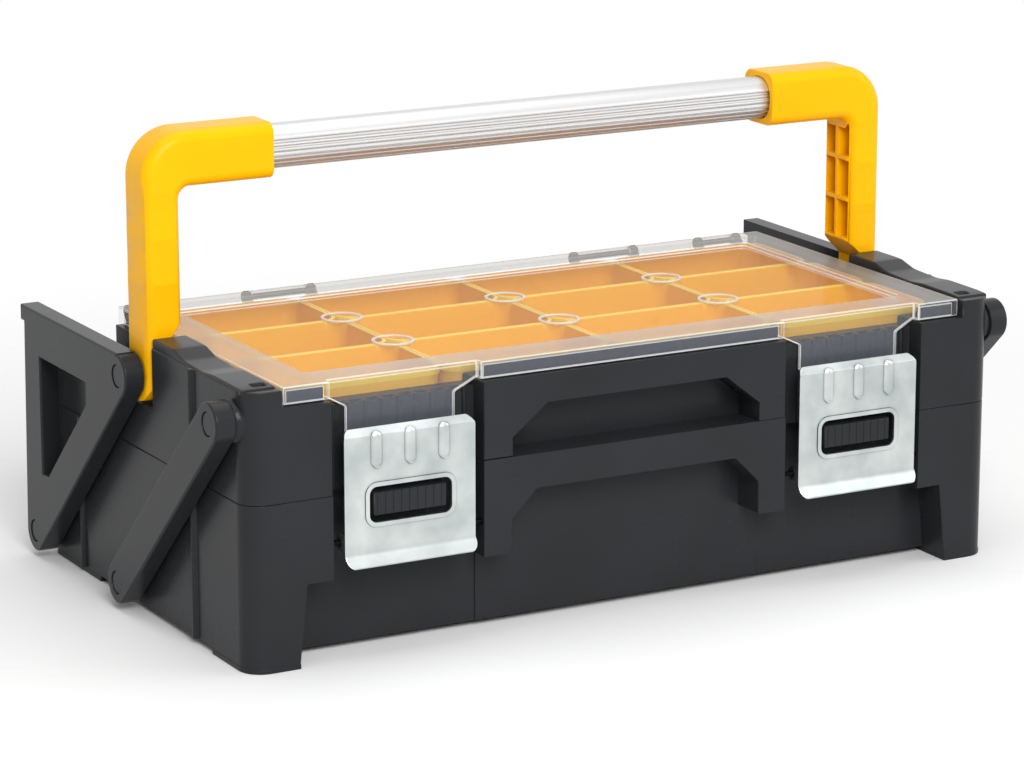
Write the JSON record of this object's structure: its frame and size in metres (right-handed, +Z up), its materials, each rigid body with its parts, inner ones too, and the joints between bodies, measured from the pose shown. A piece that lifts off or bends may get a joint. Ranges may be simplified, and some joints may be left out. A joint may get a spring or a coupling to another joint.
{
  "type": "cantilever toolbox with bin tray",
  "caption": "Cantilever organiser toolbox: a base tub and an upper tray of bins under a clear hinged lid, with swing arms, snap latches and a folding carrying handle.",
  "frame": {"origin": "centre of the overall box's footprint, on the surface that the feet stand on", "axes": "+X to the right along the box, +Y to the rear away from the latches, +Z up"},
  "size_m": [0.4598, 0.2578, 0.2478],
  "materials": {
    "black_plastic": "moulded, fine grain",
    "yellow_plastic": "moulded, satin",
    "bin_plastic": "moulded, satin",
    "clear_plastic": "clear, polished",
    "tube_metal": "satin anodised",
    "latch_steel": "zinc plated, satin",
    "pin_steel": "drawn wire"
  },
  "bodies": {
    "base": {"base_tub": "black_plastic", "lower_pivot_pins": "black_plastic", "latch_pins": "pin_steel"},
    "rear_arms": {"rear_arm_left": "black_plastic", "rear_arm_right": "black_plastic"},
    "front_arms": {"front_arm_left": "black_plastic", "front_arm_right": "black_plastic"},
    "tray": {"upper_tray": "black_plastic", "upper_front_pins": "black_plastic", "upper_rear_pins": "black_plastic", "lid_hinge_pins": "pin_steel", "bin_front_1": "bin_plastic", "bin_front_2": "bin_plastic", "bin_front_3": "bin_plastic", "bin_front_4": "bin_plastic", "bin_middle_1": "bin_plastic", "bin_middle_2": "bin_plastic", "bin_middle_3": "bin_plastic", "bin_middle_4": "bin_plastic", "bin_rear_1": "bin_plastic", "bin_rear_2": "bin_plastic", "bin_rear_3": "bin_plastic", "bin_rear_4": "bin_plastic"},
    "lid": {"lid": "clear_plastic"},
    "handle": {"handle_bracket_left": "yellow_plastic", "handle_bracket_right": "yellow_plastic", "handle_tube": "tube_metal"},
    "latch_left": {"latch_left": "latch_steel"},
    "latch_right": {"latch_right": "latch_steel"}
  },
  "joints": [
    {"name": "tray_swing", "type": "hinge", "parent": "base", "child": "rear_arms", "pos_m": [0, 0.1169, 0.0148], "axis": [-1, 0, 0], "range_deg": [0, 90]},
    {"name": "front_arm_swing", "type": "hinge", "parent": "base", "child": "front_arms", "pos_m": [0, 0.0089, 0.0148], "axis": [-1, 0, 0], "range_deg": [0, 90]},
    {"name": "tray_level", "type": "hinge", "parent": "rear_arms", "child": "tray", "pos_m": [0, 0.0021, 0.1244], "axis": [-1, 0, 0], "range_deg": [-90, 0]},
    {"name": "lid_open", "type": "hinge", "parent": "tray", "child": "lid", "pos_m": [0, 0.0851, 0.136], "axis": [-1, 0, 0], "range_deg": [0, 100]},
    {"name": "handle_fold", "type": "hinge", "parent": "tray", "child": "handle", "pos_m": [0, 0.0021, 0.1244], "axis": [-1, 0, 0], "range_deg": [0, 90]},
    {"name": "latch_left_open", "type": "hinge", "parent": "base", "child": "latch_left", "pos_m": [-0.1304, -0.1189, 0.06], "axis": [1, 0, 0], "range_deg": [0, 100]},
    {"name": "latch_right_open", "type": "hinge", "parent": "base", "child": "latch_right", "pos_m": [0.1304, -0.1189, 0.06], "axis": [1, 0, 0], "range_deg": [0, 100]}
  ],
  "couplings": [
    {"joint": "front_arm_swing", "follows": "tray_swing", "ratio": 1},
    {"joint": "tray_level", "follows": "tray_swing", "ratio": -1},
    {"joint": "handle_fold", "follows": "lid_open", "ratio": 0.9}
  ]
}
